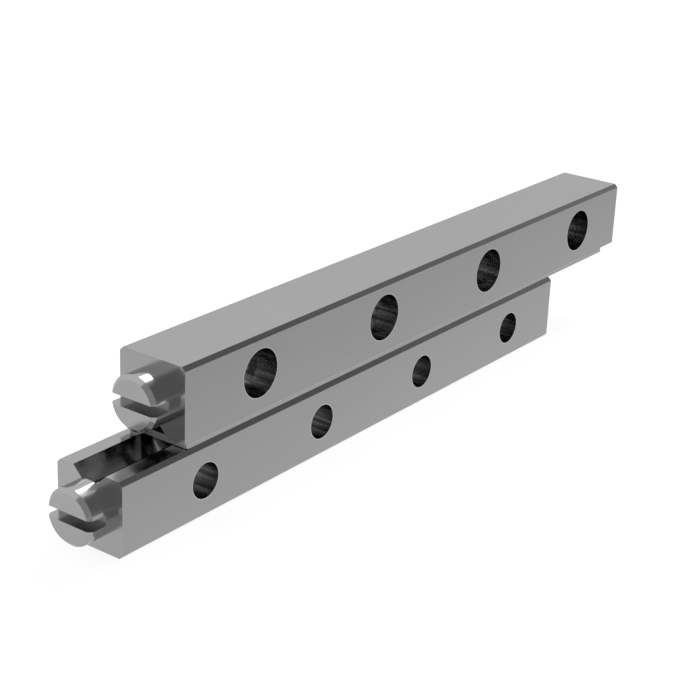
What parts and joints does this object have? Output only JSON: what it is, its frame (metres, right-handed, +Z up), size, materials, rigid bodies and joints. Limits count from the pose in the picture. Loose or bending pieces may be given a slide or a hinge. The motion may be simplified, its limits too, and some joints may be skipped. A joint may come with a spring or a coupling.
{
  "type": "linear guide rail",
  "caption": "Crossed-roller linear guide: V-grooved steel rails that slide along each other on a caged row of crossed rollers, with slotted end screws as stops.",
  "frame": {"origin": "centre of the lower rail's base face", "axes": "+X along the rails, towards the end where the upper rail stands out further; +Y through the rails' width, away from the side that shows the upper rail's counterbores; +Z up, from the lower rail to the upper one"},
  "size_m": [0.0701, 0.006, 0.012],
  "materials": {
    "rail_steel": "fine ground",
    "screw_steel": "turned, bright",
    "cage_steel": "rolled strip",
    "roller_steel": "hardened and polished"
  },
  "bodies": {
    "lower_rail": {"lower_rail": "rail_steel", "lower_left_end_screw": "screw_steel", "lower_right_end_screw": "screw_steel"},
    "upper_rail": {"upper_rail": "rail_steel", "upper_left_end_screw": "screw_steel", "upper_right_end_screw": "screw_steel"},
    "roller_cage": {"roller_cage": "cage_steel"},
    "roller_01": {"roller_01": "roller_steel"},
    "roller_02": {"roller_02": "roller_steel"},
    "roller_03": {"roller_03": "roller_steel"},
    "roller_04": {"roller_04": "roller_steel"},
    "roller_05": {"roller_05": "roller_steel"},
    "roller_06": {"roller_06": "roller_steel"},
    "roller_07": {"roller_07": "roller_steel"},
    "roller_08": {"roller_08": "roller_steel"},
    "roller_09": {"roller_09": "roller_steel"},
    "roller_10": {"roller_10": "roller_steel"},
    "roller_11": {"roller_11": "roller_steel"},
    "roller_12": {"roller_12": "roller_steel"},
    "roller_13": {"roller_13": "roller_steel"}
  },
  "joints": [
    {"name": "rail_slide", "type": "slide", "parent": "lower_rail", "child": "upper_rail", "axis": [1, 0, 0], "range_m": [-0.0153, 0.003]},
    {"name": "cage_slide", "type": "slide", "parent": "lower_rail", "child": "roller_cage", "axis": [1, 0, 0], "range_m": [-0.00765, 0.0015]},
    {"name": "roller_01_spin", "type": "hinge", "parent": "roller_cage", "child": "roller_01", "pos_m": [-0.0185, 0, 0.006], "axis": [0, 0.7071, 0.7071], "range_deg": [-352, 69]},
    {"name": "roller_02_spin", "type": "hinge", "parent": "roller_cage", "child": "roller_02", "pos_m": [-0.015, 0, 0.006], "axis": [0, 0.7071, -0.7071], "range_deg": [-352, 69]},
    {"name": "roller_03_spin", "type": "hinge", "parent": "roller_cage", "child": "roller_03", "pos_m": [-0.0115, 0, 0.006], "axis": [0, 0.7071, 0.7071], "range_deg": [-352, 69]},
    {"name": "roller_04_spin", "type": "hinge", "parent": "roller_cage", "child": "roller_04", "pos_m": [-0.008, 0, 0.006], "axis": [0, 0.7071, -0.7071], "range_deg": [-352, 69]},
    {"name": "roller_05_spin", "type": "hinge", "parent": "roller_cage", "child": "roller_05", "pos_m": [-0.0045, 0, 0.006], "axis": [0, 0.7071, 0.7071], "range_deg": [-352, 69]},
    {"name": "roller_06_spin", "type": "hinge", "parent": "roller_cage", "child": "roller_06", "pos_m": [-0.001, 0, 0.006], "axis": [0, 0.7071, -0.7071], "range_deg": [-352, 69]},
    {"name": "roller_07_spin", "type": "hinge", "parent": "roller_cage", "child": "roller_07", "pos_m": [0.0025, 0, 0.006], "axis": [0, 0.7071, 0.7071], "range_deg": [-352, 69]},
    {"name": "roller_08_spin", "type": "hinge", "parent": "roller_cage", "child": "roller_08", "pos_m": [0.006, 0, 0.006], "axis": [0, 0.7071, -0.7071], "range_deg": [-352, 69]},
    {"name": "roller_09_spin", "type": "hinge", "parent": "roller_cage", "child": "roller_09", "pos_m": [0.0095, 0, 0.006], "axis": [0, 0.7071, 0.7071], "range_deg": [-352, 69]},
    {"name": "roller_10_spin", "type": "hinge", "parent": "roller_cage", "child": "roller_10", "pos_m": [0.013, 0, 0.006], "axis": [0, 0.7071, -0.7071], "range_deg": [-352, 69]},
    {"name": "roller_11_spin", "type": "hinge", "parent": "roller_cage", "child": "roller_11", "pos_m": [0.0165, 0, 0.006], "axis": [0, 0.7071, 0.7071], "range_deg": [-352, 69]},
    {"name": "roller_12_spin", "type": "hinge", "parent": "roller_cage", "child": "roller_12", "pos_m": [0.02, 0, 0.006], "axis": [0, 0.7071, -0.7071], "range_deg": [-352, 69]},
    {"name": "roller_13_spin", "type": "hinge", "parent": "roller_cage", "child": "roller_13", "pos_m": [0.0235, 0, 0.006], "axis": [0, 0.7071, 0.7071], "range_deg": [-352, 69]}
  ],
  "couplings": [
    {"joint": "cage_slide", "follows": "rail_slide", "ratio": 0.5},
    {"joint": "roller_01_spin", "follows": "rail_slide", "rad_per_m": 400},
    {"joint": "roller_02_spin", "follows": "rail_slide", "rad_per_m": 400},
    {"joint": "roller_03_spin", "follows": "rail_slide", "rad_per_m": 400},
    {"joint": "roller_04_spin", "follows": "rail_slide", "rad_per_m": 400},
    {"joint": "roller_05_spin", "follows": "rail_slide", "rad_per_m": 400},
    {"joint": "roller_06_spin", "follows": "rail_slide", "rad_per_m": 400},
    {"joint": "roller_07_spin", "follows": "rail_slide", "rad_per_m": 400},
    {"joint": "roller_08_spin", "follows": "rail_slide", "rad_per_m": 400},
    {"joint": "roller_09_spin", "follows": "rail_slide", "rad_per_m": 400},
    {"joint": "roller_10_spin", "follows": "rail_slide", "rad_per_m": 400},
    {"joint": "roller_11_spin", "follows": "rail_slide", "rad_per_m": 400},
    {"joint": "roller_12_spin", "follows": "rail_slide", "rad_per_m": 400},
    {"joint": "roller_13_spin", "follows": "rail_slide", "rad_per_m": 400}
  ]
}
